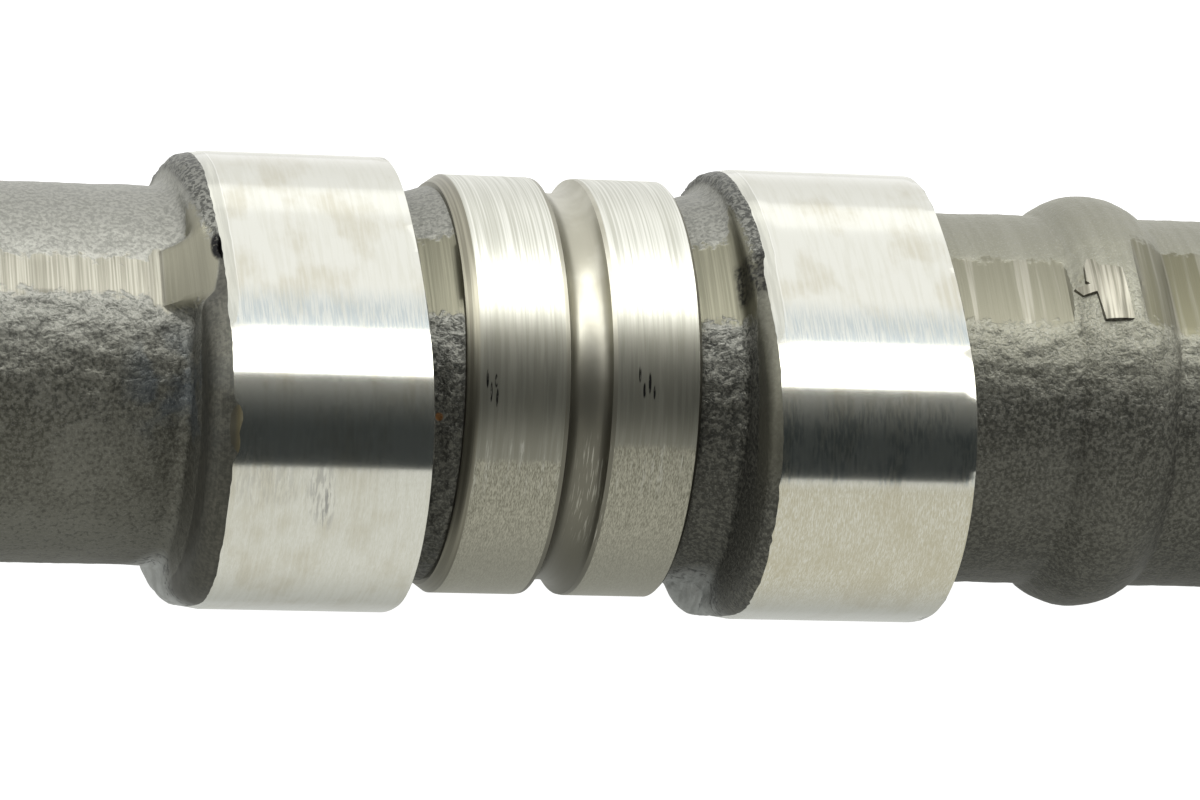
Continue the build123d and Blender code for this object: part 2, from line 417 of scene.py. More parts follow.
def seam_strip(u):
    """Middle and half width of the dressed strip at places along the shaft."""
    places, strips = [-STRIP_END], [PLAIN_STRIP]
    for start, end, middle, half in SEAM_STRIPS:
        places += [start + STRIP_BLEND, end - STRIP_BLEND]
        strips += [(middle, half)] * 2
    places.append(STRIP_END)
    strips.append(PLAIN_STRIP)
    return tuple(np.interp(u, places, values) for values in zip(*strips))


def store(mesh, name, values):
    """Keeps one number for each vertex, for the materials to read."""
    mesh.attributes.new(name, "FLOAT", "POINT").data.foreach_set("value", values.astype(np.float32))


def vertex_vectors(mesh, name):
    """Places or normals of all vertices, one in each row."""
    values = np.empty(len(mesh.vertices) * 3)
    mesh.vertices.foreach_get(name, values)
    return values.reshape(-1, 3)


def shaft_places(points):
    """Places u along the shaft and angles alpha above level, of points in metres."""
    return ((points[:, 0] - FIRST_PAIR_X) / MM, np.degrees(np.arctan2(points[:, 2], -points[:, 1])))


def from_seams(alpha, middle):
    """Angle to the nearer one of the two mould seams."""
    return 90 - np.abs(90 - np.abs(alpha - middle))


# Drops of iron beside the flake: place, angle, size
IRON_DROPS = [(37.3, 65.8, 0.42), (38, 62.7, 0.3), (36.95, 62.3, 0.3)]
DEGREES_IN_MM = 3.8
# Slit and torn notch where the chilled sides start: place, angle, half angle, depth
TORN_SLITS = [(-27.5, 56, 4.6, 0.45), (12.3, 56.5, 5, 0.35)]
SLIT_HALF_WIDTH = 0.5


def cast_roughness(u, alpha, side):
    """How strong the wrinkles are."""
    first = (u > -43) & (u < 54)
    neck = first & (np.abs(u) < 13)
    before = first & (u < -26)
    after = first & (u > 26)
    wrinkled = 0.82 * smooth(2, 26, alpha) * smooth(56, 46, alpha) + 0.15
    above_strip = 0.3 * smooth(58, 63, alpha) * smooth(100, 72, alpha)
    in_neck = 1.25 * smooth(46, 40, alpha) * np.where(u < 0, 1, smooth(-30, 15, alpha))
    rough = np.full(len(u), 0.35)
    rough = np.where(before, wrinkled + above_strip, rough)
    rough = np.where(neck, 0.2 + in_neck, rough)
    rough = np.where(after, 0.9 * smooth(-5, 28, alpha) * smooth(52, 44, alpha) + 0.12, rough)
    chilled = smooth(0, 0.12, side - 0.5 - 0.42 * smooth(25, 57, alpha)) * smooth(60, 57, alpha)
    torn = smooth(0, 0.2, side - 0.42 - 0.35 * smooth(100, 62, alpha)) * smooth(57, 62, alpha)
    rough = rough * (1 - 0.9 * chilled) + 0.7 * torn
    return rough * smooth(1, 0.85, np.abs(side))


def relief(points, side):
    """Height of the cast skin over its smooth shape, in metres."""
    u, alpha = shaft_places(points)
    lumps = fractal(points, 5 * MM, 3)
    grain = fractal(points, 1.3 * MM, 3, 5)
    long_points = points * (0.75, 1, 1)
    coarse = fractal(long_points, 1.15 * MM, 3, 9)
    ridges = 0.5 - np.abs(fractal(long_points, 0.8 * MM, 2, 14))
    rough = cast_roughness(u, alpha, side)
    middle, half = seam_strip(u)
    smooth_seam = smooth(half + 2, half - 1, from_seams(alpha, middle)) * (np.abs(side) < 0.8)
    height = 0.05 * lumps + (1 - smooth_seam) * (0.03 * grain + rough * (0.12 * coarse + 0.14 * ridges))
    for mid_u, mid_alpha, size in IRON_DROPS:
        height += 0.5 * size * bump_at(u, alpha, mid_u, mid_alpha, size, size * DEGREES_IN_MM)
    for mid_u, mid_alpha, half_angle, depth in TORN_SLITS:
        height -= depth * bump_at(u, alpha, mid_u, mid_alpha, SLIT_HALF_WIDTH, half_angle)
    return height * MM


# Round lumps low on the front sides of the first two lobes: place, angle, radius of the centre, half length and
# half width
CAST_LUMPS = [(-26.5, -66, 14.3, 2.5, 3.4), (12.9, -66, 13.8, 3, 3.6)]
LUMP_BLEND = 0.22
LUMP_BELOW_CAM = 0.08


def over_lumps(u, alpha, radius, cam):
    """Radius in mm of the skin, swollen by the round lumps up to the cam outline."""
    for mid_u, mid_alpha, centre_r, half_length, half_width in CAST_LUMPS:
        arc = np.radians(alpha - mid_alpha) * radius
        inside = 1 - ((u - mid_u) / half_length) ** 2 - (arc / half_width) ** 2
        top = centre_r + cam - BASE_R / MM + half_length * np.sqrt(np.maximum(inside, 0))
        swollen = (radius + top + np.hypot(radius - top, LUMP_BLEND)) / 2
        radius = np.where(inside > 0, np.maximum(radius, np.minimum(swollen, cam - LUMP_BELOW_CAM)), radius)
    return radius


# Chips in the front edge of the first track: angle, half angle, depth
EDGE_CHIPS = [(15.6, 3.2, 0.62), (10.6, 2.8, 0.5)]
REACH_BEHIND_EDGE, REACH_BEFORE_EDGE = 1.6, 1


def edge_noise(alpha, pace, edge, layer):
    """Noise round one edge."""
    return np.array([noise.noise(Vector((a * pace, edge, layer))) for a in alpha])


def edge_wander(alpha, edge, pair, lobe_u):
    """How far the front edge of one track lies off its plane, in mm."""
    wander = 0.07 * edge_noise(alpha, 0.9, edge, 0) + 0.12 * edge_noise(alpha, 0.12, edge, 4)
    if pair == 0 and lobe_u < 0:
        for mid_alpha, half_angle, depth in EDGE_CHIPS:
            wander += depth * np.clip(1 - ((alpha - mid_alpha) / half_angle) ** 2, 0, 1) ** 0.7
    if pair == 0 and lobe_u > 0:
        wander += 0.16 * edge_noise(alpha, 2.3, edge, 9) * smooth(22, 2, alpha) * smooth(-75, -60, alpha)
        wander += 0.3 * smooth(57, 59.5, alpha) * smooth(100, 60, alpha) - 0.15 * smooth(57, 52, alpha)
    return wander


def edge_shift(points, lift, alpha):
    """How far points move along the shaft with the front edges of the tracks."""
    u = (points[:, 0] - FIRST_PAIR_X) / MM
    shift = np.zeros(len(points))
    for pair in range(len(PAIR_X)):
        for lobe_u in (-LOBE_SPACING / MM / 2, LOBE_SPACING / MM / 2):
            edge = lobe_u - LOBE_WIDTH / MM / 2 + pair * PAIR_PITCH / MM
            far = u - edge
            near = np.clip(1 - np.maximum(far / REACH_BEHIND_EDGE, -far / REACH_BEFORE_EDGE), 0, 1)
            shift += edge_wander(alpha, edge, pair, lobe_u) * near * (lift > 0.6)
    return shift * MM


# Ramp ground on the front side of the first lobe, and the run of skin before it that is pushed back
RAMP_START, RAMP_FOOT, RAMP_END = -31.1, -29.95, -27.2
RAMP_RUN, RAMP_PUSH_RUN = 3.5, 4.6
RAMP_MIDDLE, RAMP_HALF = 53, 10


def ramp_shift(u, alpha, side):
    """How far the skin moves along the shaft to make the ramp, in mm."""
    on_ramp = smooth(RAMP_HALF + 3, RAMP_HALF - 1, from_seams(alpha, RAMP_MIDDLE))
    on_side = (side > 0) & (u < -20) & (u > -40)
    ramp_u = RAMP_START + (RAMP_END - RAMP_START) * side
    run_start = RAMP_START - RAMP_RUN
    before_side = (side == 0) & (u > run_start) & (u < -28.5)
    push = np.clip((u - run_start) / RAMP_PUSH_RUN, 0, 1) ** 2 * (RAMP_START - RAMP_FOOT)
    return on_ramp * np.where(on_side, ramp_u - u, np.where(before_side, push, 0))


def flat_depth(places, base, side, away, half):
    """How deep dressing cut the flats, with a little chatter."""
    chatter = np.array([noise.noise(Vector((x * 0.9, a * 0.03, 0))) for x, a in places])
    depth = 1 - np.cos(np.radians(half)) / np.cos(np.radians(np.minimum(away, half)))
    return depth * 0.7 * base * smooth(0.95, 0.35, np.abs(side)) + 0.015 * MM * chatter


def shaped_skin():
    """The joined skin with its cam lift, cast relief, dressed seam and damage."""
    skin, rings = joined_skin()
    mesh = skin.data
    mesh.materials.clear()
    places = vertex_vectors(mesh, "co")
    ring = np.empty(len(places), dtype=np.int32)
    mesh.attributes["ring"].data.foreach_get("value", ring)
    base, lift, pair, zone, facing, foot = np.array(rings)[ring].T[1:]
    turn = np.arctan2(places[:, 2], places[:, 1])
    nose = np.array(NOSE_ANGLES)[pair.astype(int)]
    cam = lobe_radius(turn - nose)
    reach = base + lift * (cam - BASE_R)
    # Share of the height of a lobe's side, below 0 on its rear
    side = np.sign(facing) * np.clip((reach - foot) / (cam - foot), 0, 1)
    # Bevel on the front edge of a track, away from the nose
    from_nose = np.degrees(np.abs((turn - nose + pi) % tau - pi))
    bevel = smooth(30, 45, from_nose) * smooth(0.7, 0.98, side) * EDGE_BEVEL_DROP
    reach -= bevel
    places[:, 1] = reach * np.cos(turn)
    places[:, 2] = reach * np.sin(turn)
    mesh.vertices.foreach_set("co", places.ravel())
    mesh.update()

    # Cast relief, round lumps and wandering edges of the tracks
    next_zone = np.array([r[4] for r in rings[1:] + rings[-1:]])[ring]
    cast = (zone == CAST) & (next_zone == CAST) & (places[:, 0] > FRONT_JOURNAL_WIDTH + 0.1 * MM)
    places[cast] += vertex_vectors(mesh, "normal")[cast] * relief(places[cast], side[cast])[:, None]
    u, alpha = shaft_places(places)
    radius = np.hypot(places[:, 1], places[:, 2])
    radius = np.where(radius > 0, radius, MM)
    swelling = np.where(cast, over_lumps(u, alpha, radius / MM, cam / MM) * MM / radius, 1)
    places[:, 1:] *= swelling[:, None]
    places[:, 0] += edge_shift(places, lift, alpha)
    places[:, 0] += MM * ramp_shift(u, alpha, side)

    # Flats that dressing left along both mould seams, fading out up the sides of the lobes
    middle, half = seam_strip(u)
    half = np.maximum(half, 0)
    away = from_seams(alpha, middle)
    limit = reach - flat_depth(zip(places[:, 0] / MM, alpha), base, side, away, half)
    radius = np.hypot(places[:, 1], places[:, 2])
    cut = cast & (away < half) & (radius > limit)
    places[cut, 1:] *= (limit[cut] / radius[cut])[:, None]
    mesh.vertices.foreach_set("co", places.ravel())

    store(mesh, "strip_middle", middle)
    store(mesh, "strip_half", half)
    store(mesh, "front_side", np.maximum(side, 0) * (zone == CAST))
    store(mesh, "rear_side", np.maximum(-side, 0) * (zone == CAST))
    store(mesh, "edge_bevel", bevel / EDGE_BEVEL_DROP * (zone == TRACK))
    face_zone = [rings[max(ring[v] for v in face.vertices)][4] for face in mesh.polygons]
    for make in FINISHES:
        mesh.materials.append(make())
    mesh.polygons.foreach_set("material_index", np.array(face_zone, dtype=np.int32))
    mesh.update()
    return skin, rings


def drill_dowel_hole(skin):
    """Dowel hole in the front face, cut with a cylinder."""
    bpy.ops.object.select_all(action="DESELECT")
    bpy.ops.mesh.primitive_cylinder_add(vertices=32, radius=DOWEL_HOLE_R, depth=2 * DOWEL_HOLE_DEPTH,
                                        location=(FRONT_END_X, -DOWEL_CIRCLE_R, 0), rotation=(0, pi / 2, 0))
    drill = bpy.context.object
    drill.data.materials.append(skin.data.materials[TURNED])
    only(skin)
    cut = skin.modifiers.new("dowel_hole", "BOOLEAN")
    cut.operation = "DIFFERENCE"
    cut.solver = "EXACT"
    cut.object = drill
    bpy.ops.object.modifier_apply(modifier=cut.name)
    bpy.data.objects.remove(drill)


# Corners of the torn flash flake on the bead
FLAKE_CORNERS = [(38.7, 67.2), (39.15, 66.4), (39.4, 63.9), (41, 62), (41.3, 45.9), (39.25, 46.2),
                 (38.95, 55.4), (38.05, 55.2), (37.6, 58.4), (38.6, 58.3), (38.35, 59.6), (38.45, 65)]
FLAKE_HEIGHT = 0.34 * MM
FLAKE_ROOT = 0.5 * MM
FLAKE_STEP = 0.28 * MM
TORN_EDGE_LIFT = 0.1 * MM


def flash_flake(rings):
    """Sliver of mould flash, ground on top and torn at its lower edge, that stands on the bead."""
    bpy.ops.object.select_all(action="DESELECT")
    bpy.ops.mesh.primitive_circle_add(vertices=len(FLAKE_CORNERS), radius=1 * MM, fill_type="NGON")
    flake = bpy.context.object
    flake.name = flake.data.name = "seam_flash"
    mesh = flake.data
    arc = radians(1) * (SHAFT_R + BEAD_HEIGHT)
    for vertex, (u, alpha) in zip(mesh.vertices, FLAKE_CORNERS):
        vertex.co = (u * MM, alpha * arc, 0)
    with mesh_edit():
        for axis, scale in ((0, MM), (1, arc)):
            ways = [corner[axis] * scale for corner in FLAKE_CORNERS]
            start, end = min(ways), max(ways)
            count = round((end - start) / FLAKE_STEP)
            for i in range(1, count):
                place, normal = [0, 0, 0], [0, 0, 0]
                place[axis], normal[axis] = start + (end - start) * i / count, 1
                bpy.ops.mesh.select_all(action="SELECT")
                bpy.ops.mesh.bisect(plane_co=place, plane_no=normal)
        bpy.ops.mesh.select_all(action="SELECT")
        bpy.ops.mesh.extrude_region_move(TRANSFORM_OT_translate={"value": (0, 0, -FLAKE_ROOT)})
        bpy.ops.mesh.select_all(action="SELECT")
        bpy.ops.mesh.normals_make_consistent(inside=False)
    bead_middle = FIRST_PAIR_X + BEAD_OFFSET
    bead_x, bead_r = zip(*[(r[0], r[1]) for r in rings if abs(r[0] - bead_middle) < BEAD_WIDTH])
    for vertex in mesh.vertices:
        u, way, height = vertex.co
        alpha = way / arc
        x = FIRST_PAIR_X + u
        # Ground top: nearly flat over the bead, lifting a little towards the torn edge
        flat = np.interp(x, bead_x, bead_r) + FLAKE_HEIGHT + TORN_EDGE_LIFT * smooth(52, 46, alpha)
        flat += 0.03 * MM * noise.noise(Vector((u / MM * 1.6, alpha * 0.02, 0)))
        flat += 0.05 * MM * noise.noise(Vector((u / MM * 0.8, alpha * 0.1, 3)))
        reach = flat + height
        vertex.co = (x, -reach * cos(radians(alpha)), reach * sin(radians(alpha)))
    only(flake)
    with mesh_edit():
        bpy.ops.mesh.normals_make_consistent(inside=False)
    return flake


# Materials

def maths(operation, swapped=False):
    """Operator that adds one Math node."""
    def operator(self, *others):
        terms = (*others, self) if swapped else (self, *others)
        return self.paint.add("ShaderNodeMath", {"operation": operation}, dict(enumerate(terms)))
    return operator


class Signal:
    """A number that changes over a surface. Sums and products of signals add Math nodes."""

    __add__ = __radd__ = maths("ADD")
    __sub__ = maths("SUBTRACT")
    __rsub__ = maths("SUBTRACT", swapped=True)
    __mul__ = __rmul__ = maths("MULTIPLY")
    __truediv__ = maths("DIVIDE")
    __abs__ = maths("ABSOLUTE")
    arctan2 = maths("ARCTAN2")

    def __init__(self, paint, socket):
        self.paint = paint
        self.socket = socket

    def step(self, start, end):
        """Soft step from 0 at start to 1 at end."""
        low, high, first, last = (start, end, 0, 1) if start < end else (end, start, 1, 0)
        return self.paint.add("ShaderNodeMapRange", {"interpolation_type": "SMOOTHSTEP"},
                              {"Value": self, "From Min": low, "From Max": high, "To Min": first, "To Max": last})


# Colour sockets of the Mix node
MIX_A, MIX_B, MIX_RESULT = 6, 7, 2


class Paint:
    """One procedural material on Object coordinates, with the place u and the angle its patterns need."""

    def __init__(self, name):
        self.material = bpy.data.materials.new(name)
        self.material.use_nodes = True
        self.tree = self.material.node_tree
        self.shader = self.tree.nodes["Principled BSDF"]
        place = self.add("ShaderNodeTexCoord", {}, {}, "Object")
        self.x, self.y, self.z = (self.add("ShaderNodeSeparateXYZ", {}, {0: place}, i) for i in range(3))
        self.u = self.x / MM - FIRST_PAIR_X / MM
        self.angle = self.z.arctan2(self.y * -1) * (180 / pi)

    def add(self, kind, settings, inputs, output=0):
        """Adds a node with its settings, values and links, and returns one output."""
        node = self.tree.nodes.new(kind)
        for key, value in settings.items():
            setattr(node, key, value)
        for key, value in inputs.items():
            self.put(node, key, value)
        return Signal(self, node.outputs[output])

    def put(self, node, key, value):
        """A value or a link into a socket."""
        if isinstance(value, Signal):
            self.tree.links.new(value.socket, node.inputs[key])
        elif isinstance(value, tuple) and len(value) == 3 and node.inputs[key].type == "RGBA":
            node.inputs[key].default_value = (*value, 1)
        else:
            node.inputs[key].default_value = value

    def noise(self, along, around=None, detail=2, distortion=0, shift=0):
        """Noise whose grains are 1/along metres long along the shaft and 1/around across it."""
        around = around or along
        place = self.add("ShaderNodeCombineXYZ", {}, {0: self.x * along, 1: self.y * around, 2: self.z * around})
        if shift:
            place = self.add("ShaderNodeVectorMath", {"operation": "ADD"}, {0: place, 1: (shift, shift, shift)})
        return self.add("ShaderNodeTexNoise", {},
                        {"Vector": place, "Scale": 1, "Detail": detail, "Distortion": distortion})

    def spot(self, u, angle, half_u, half_angle, edge=0.3):
        """Soft-rimmed oval round a place and an angle."""
        du = (self.u - u) / half_u
        da = (self.angle - angle) / half_angle
        return (du * du + da * da).step(1 + edge, 1 - edge)

    def mix(self, share, first, second):
        """Colour between two colours."""
        return self.add("ShaderNodeMix", {"data_type": "RGBA"},
                        {0: share, MIX_A: first, MIX_B: second}, MIX_RESULT)

    def layered(self, colour, layers):
        """A colour with others laid over it, each with its share."""
        for share, layer in layers:
            colour = self.mix(share, colour, layer)
        return colour

    def attribute(self, name):
        """A number that was stored on the vertices."""
        return self.add("ShaderNodeAttribute", {"attribute_name": name}, {}, "Fac")

    def finish(self, colour, roughness, metallic, height, distance):
        """Joins the pattern to the shader; height is in units of the distance."""
        bump = self.add("ShaderNodeBump", {}, {"Height": height, "Distance": distance, "Strength": 1.0})
        return self.shade({"Base Color": colour, "Roughness": roughness, "Metallic": metallic, "Normal": bump})

    def shade(self, values):
        """Values and links into the shader."""
        for key, value in values.items():
            self.put(self.shader, key, value)
        return self.material


# Colours of the cast skin, from the dark to the light end of a pattern
CAST_GREY = (0.15, 0.151, 0.132), (0.215, 0.215, 0.19)
FIRST_SIDE_GREY = (0.18, 0.181, 0.16), (0.27, 0.27, 0.24)
SHAFT_GREY = (0.18, 0.177, 0.136), (0.2, 0.197, 0.155)
# Painted shade for the skin below the seam on the viewer's side, darker than the cast grey
UNDERSIDE_SHADE = (0.064, 0.063, 0.05), (0.12, 0.119, 0.1)
CHILLED = (0.038, 0.038, 0.031), (0.064, 0.062, 0.05)
# Painted highlight on the round lumps, for the first and for the second lobe
LUMP_HIGHLIGHT_GREY = (0.42, 0.43, 0.42), (0.32, 0.33, 0.32)
STRIP_BRIGHT = (0.135, 0.13, 0.104), (0.21, 0.205, 0.17)
STRIP_OLIVE = (0.112, 0.109, 0.079), (0.16, 0.155, 0.115)
STRIP_BEHIND = (0.125, 0.121, 0.088), (0.21, 0.203, 0.165)
CHIP_BROWN = (0.045, 0.042, 0.03), (0.085, 0.073, 0.04)

# Painted highlight and painted shade of the round lumps: place, angle, half length, half angle
LUMP_LIGHT_AND_SHADE_SPOTS = [(-28, -70, 3, 27), (11.6, -70, 3, 27)]


def cast_patterns(paint):
    """Grain of the cast skin, and lines across the dressed strip."""
    lump = paint.noise(1150, 1700, 3, 0.4)
    return SimpleNamespace(
        cloud=paint.noise(170, detail=3), patch=paint.noise(420, detail=4, shift=11),
        grit=paint.noise(3300, detail=4, shift=3), speck=paint.noise(7500, detail=2),
        lump=lump, ridge=abs(lump - 0.5) * 2,
        lines=paint.noise(6000, 100, 3, shift=1), broad_lines=paint.noise(1700, 60, 3, shift=2))


def cast_regions(paint, grain):
    """Where each kind of cast surface lies, from 0 outside to 1 inside."""
    angle, u = paint.angle, paint.u
    side = paint.attribute("front_side")
    strip_middle = paint.attribute("strip_middle")
    viewer_side = angle.step(-150, -120)
    chill_border = side - (angle.step(25, 57) * 0.42 + 0.5)
    chill = chill_border.step(0, 0.06) * angle.step(60, 58.5) * angle.step(-120, -60)
    chill = chill * (1 - u.step(0, 5) * angle.step(14, -4))
    torn = (side - (angle.step(100, 62) * 0.4 + 0.42) + (grain.grit - 0.5) * 0.4).step(-0.06, 0.1)
    torn = torn * angle.step(57, 60) * viewer_side
    # Ragged border of the strip, wider on the upper part of the lobe sides
    from_seam = 90 - abs(90 - abs(angle - strip_middle))
    ragged = (paint.noise(1500, 60, 3) - 0.5) * 5 + (grain.lump - 0.5) * 9 + (grain.grit - 0.5) * 5
    ragged = ragged + side.step(0, 0.5) * ((angle - strip_middle).step(0, 6) * 10 + 2)
    dressed = (paint.attribute("strip_half") - from_seam + ragged).step(-1.2, 1.2)
    dressed = dressed * (1 - paint.attribute("rear_side").step(0.5, 0.7))
    return SimpleNamespace(
        side=side, chill=chill, torn=torn, dressed=dressed * (1 - chill) * (1 - torn),
        neck=u.step(-13.6, -12.8) * u.step(13.6, 12.8), behind=u.step(21, 26), first_side=u.step(-24, -26),
        # Below the seam on the viewer's side, where the skin is given painted shade
        low=angle.step(52, 18) * viewer_side, wrinkled=angle.step(-10, 26) * angle.step(68, 50))


def shaded_underside_colour(paint, grain, where):
    """Skin below the seam, darkened as painted shade that is deepest in the neck and on the shaft behind the
    pair, lightened low on the first side by painted light from the floor, with a blue bloom on the shaft.
    """
    # Painted light from the floor, low on the first side
    floor_bounce_light = where.first_side * paint.angle.step(-4, -24)
    dark = paint.mix(grain.cloud.step(0.4, 0.6) * 0.5 + floor_bounce_light * 0.5, *UNDERSIDE_SHADE)
    return paint.layered(dark, [
        # Painted shade, deepest in the neck and on the shaft behind the pair
        (where.behind * 0.55 + where.neck * 0.8, (0.04, 0.04, 0.034)),
        (grain.grit.step(0.46, 0.62) * 0.42, (0.15, 0.148, 0.123)),
        (grain.grit.step(0.46, 0.36) * 0.5, (0.03, 0.029, 0.023)),
        (paint.spot(-30, 22, 3.4, 17, 0.9) * grain.patch.step(0.4, 0.58) * 0.6, (0.055, 0.068, 0.08))])


def sand_cast_colour(paint, grain, where):
    """Skin as it left the sand, with its chilled and torn places, painted shade in the creases of its wrinkles
    and low on the first side, and the shaded skin below the seam.
    """
    grit, lines = grain.grit, grain.lines
    # Painted shade: near-black in the creases of the wrinkled skin and of the neck
    wrinkles = grain.ridge.step(0.16, 0.02) * grit.step(0.6, 0.45) * (where.wrinkled * 0.4 + where.neck * 0.2)
    chilled = paint.mix(lines.step(0.35, 0.7) * 0.4 + grit.step(0.4, 0.64) * 0.6, *CHILLED)
    chilled = paint.mix(paint.u.step(0, 5) * 0.7, chilled, (0.085, 0.083, 0.062))
    skin = paint.mix(grit.step(0.38, 0.62), *CAST_GREY)
    return paint.layered(skin, [
        (where.first_side * 0.6, paint.mix(grit.step(0.38, 0.62), *FIRST_SIDE_GREY)),
        (where.behind * 0.85, paint.mix(grain.broad_lines.step(0.4, 0.62), *SHAFT_GREY)),
        # Painted shade: darker below the seam on the shaft and side before the first lobe
        (where.first_side * paint.angle.step(52, 44) * 0.35, (0.1, 0.1, 0.086)),
        (where.low, shaded_underside_colour(paint, grain, where)),
        (grain.speck.step(0.54, 0.68) * (0.4 - where.low * 0.2), (0.26, 0.26, 0.235)),
        (wrinkles, (0.02, 0.021, 0.019)),
        (where.chill * 0.85, chilled),
        (where.torn * (grit.step(0.56, 0.44) * 0.45 + 0.4), (0.035, 0.036, 0.032))])


def lump_colour(paint, grain, skin):
    """The cast skin with a painted highlight on each round lump, and painted shade along curved folds across it.
    """
    fans = paint.noise(2600, 500, 3, shift=17)
    wobble = (grain.lump - 0.5) * 0.9
    for lump in LUMP_LIGHT_AND_SHADE_SPOTS:
        ball = paint.spot(*lump, 0.7)
        # Painted highlight laid over the lump
        painted_highlight = paint.mix(paint.u.step(-5, 5), *LUMP_HIGHLIGHT_GREY)
        skin = paint.mix(ball * (fans.step(0.35, 0.6) * 0.3 + 0.65), skin, painted_highlight)
        # Painted shade along two curved folds on each lump
        arcs = abs(ball - 0.35 + wobble) * abs(ball - 0.7 + wobble)
        crease_shade = arcs.step(0.03, 0.004) * ball.step(0.02, 0.2) * grain.patch.step(0.42, 0.55)
        skin = paint.mix(crease_shade * 0.7, skin, (0.016, 0.017, 0.017))
    return skin


def strip_colour(paint, grain, where):
    """Bright dressed strip, olive on the lobe sides and in the neck, with painted shade in the neck, streaked
    behind the pair.
    """
    lines, broad_lines = grain.lines, grain.broad_lines
    olive = paint.mix(lines.step(0.36, 0.68), *STRIP_OLIVE)
    olive = paint.mix(where.first_side * 0.6, olive, (0.19, 0.184, 0.142))
    # Painted shade in the neck
    olive = paint.mix(where.neck * 0.35, olive, (0.09, 0.087, 0.062))
    bright = paint.mix(lines.step(0.36, 0.66), *STRIP_BRIGHT)
    return paint.layered(bright, [
        (broad_lines.step(0.55, 0.66) * 0.45, (0.1, 0.097, 0.075)),
        (where.side.step(0.02, 0.1) + where.neck, olive),
        (where.behind * 0.85, paint.mix(broad_lines.step(0.52, 0.7), *STRIP_BEHIND)),
        (paint.u.step(42, 43) * (broad_lines.step(0.6, 0.45) * 0.5 + 0.35), (0.1, 0.095, 0.06))])


def damage_colour(paint, grain, where, colour):
    """The colour with painted shade in the slit and the torn notch, the chip and the rust speck."""
    angle, u, grit = paint.angle, paint.u, grain.grit
    # Painted shade: near-black in the slit and in the torn notch
    slit = paint.spot(-27.45, 56.6, 0.42, 4.2, 0.45) * (grit.step(0.3, 0.45) * 0.4 + 0.6)
    notch = u.step(10.5, 11.6) * angle.step(45, 49) * angle.step(62.5, 59) * where.side.step(0.03, 0.15)
    notch = notch * (grit.step(0.6, 0.4) * 0.5 + 0.5)
    wobble = (grain.lump - 0.5) * 0.9 + (grit - 0.5) * 0.5
    chip = (paint.spot(-26.95, 13.5, 0.62, 4.4, 0.5) + wobble).step(0.45, 0.6)
    rim = paint.spot(-27.1, 13.5, 1, 5.2, 0.25) * u.step(-26.95, -26.7)
    return paint.layered(colour, [
        (slit + notch * 0.9, (0.006, 0.006, 0.006)),
        (chip * 0.9, paint.mix(u.step(-27.3, -26.8), *CHIP_BROWN)),
        (rim * (1 - chip * 0.6) * (grit.step(0.4, 0.55) * 0.4 + 0.35), (0.17, 0.163, 0.127)),
        (paint.spot(-10.9, 13.1, 0.28, 1.2, 0.5) * 0.8, (0.13, 0.055, 0.012))])


def cast_skin():
    """Cast skin, dressed bright along the mould seam."""
    paint = Paint("cast_skin")
    grain = cast_patterns(paint)
    where = cast_regions(paint, grain)
    skin = lump_colour(paint, grain, sand_cast_colour(paint, grain, where))
    colour = paint.mix(where.dressed, skin, strip_colour(paint, grain, where))
    colour = damage_colour(paint, grain, where, colour)
    plain = (1 - where.dressed) * (1 - where.chill * 0.85)
    roughness = 0.52 + (grain.grit - 0.5) * 0.3 * plain - where.dressed * 0.1
    ridges = grain.ridge * (where.wrinkled * 0.28 + where.neck * 0.2 + where.torn * 0.25)
    height = (grain.grit * 0.26 + grain.speck * 0.06 + ridges) * plain
    height = height + (grain.lines * 0.08 + grain.broad_lines * 0.1) * where.dressed
    return paint.finish(colour, roughness, 0.9, height, 0.2 * MM)


# Colours of the ground tracks
BEVEL_GREY = (0.4, 0.4, 0.35), (0.5, 0.5, 0.44)


